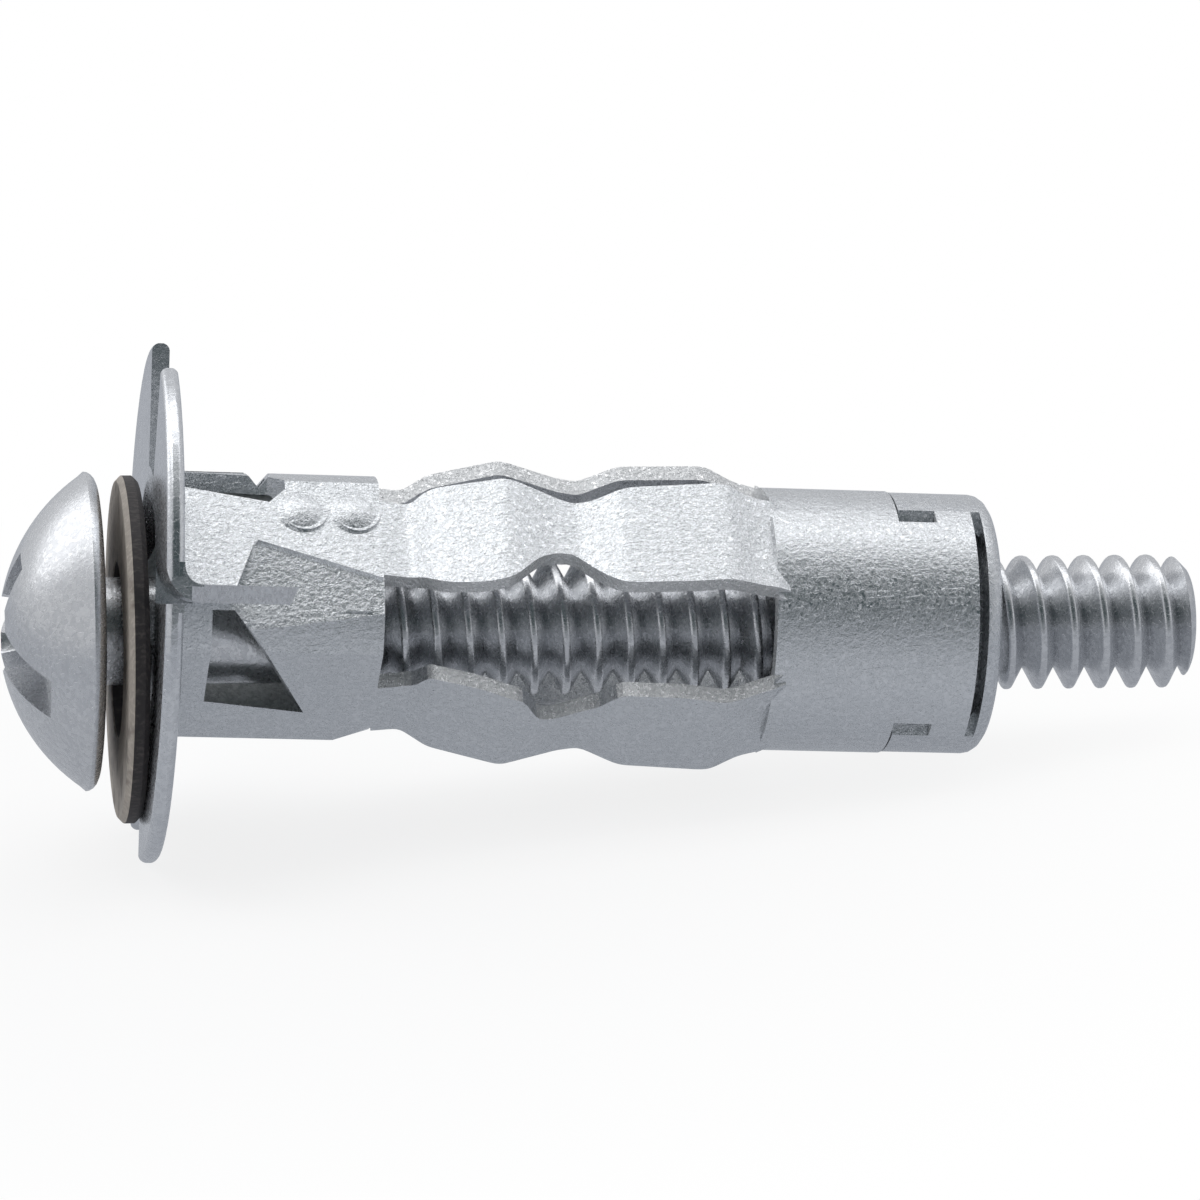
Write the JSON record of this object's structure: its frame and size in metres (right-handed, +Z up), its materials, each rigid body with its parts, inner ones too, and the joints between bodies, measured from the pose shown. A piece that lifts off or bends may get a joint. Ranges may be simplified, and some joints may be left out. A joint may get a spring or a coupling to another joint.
{
  "type": "hollow wall anchor",
  "caption": "Zinc-plated hollow wall anchor: slotted sheet sleeve with split flange and wall prongs, crimped end nut, fibre washer and truss-head machine screw.",
  "frame": {"origin": "centre of the flange's wall-side face, on the sleeve's axis", "axes": "+Z up with the anchor lying down; its axis runs towards +X from the screw's head to its tip and slopes down by 8.4 degrees"},
  "size_m": [0.0296, 0.0126, 0.0123],
  "materials": {
    "sleeve": "bright zinc plating with a fine speckled grain",
    "nut": "bright zinc plating",
    "screw": "smooth zinc plating",
    "washer": "brown vulcanised fibre"
  },
  "bodies": {
    "sleeve_body": {"sleeve": "sleeve", "nut": "nut"},
    "washer_body": {"washer": "washer"},
    "screw_body": {"screw": "screw"}
  },
  "joints": [
    {"name": "screw_turn", "type": "hinge", "parent": "sleeve_body", "child": "washer_body", "pos_m": [0.01895, 0, -0.00278], "axis": [0.9937, 0.0084, -0.1117], "range_deg": [-2880, 204]},
    {"name": "screw_travel", "type": "slide", "parent": "washer_body", "child": "screw_body", "axis": [0.9937, 0.0084, -0.1117], "range_m": [-0.00635, 0.00045]}
  ],
  "couplings": [
    {"joint": "screw_turn", "follows": "screw_travel", "rad_per_m": 7915.8}
  ]
}
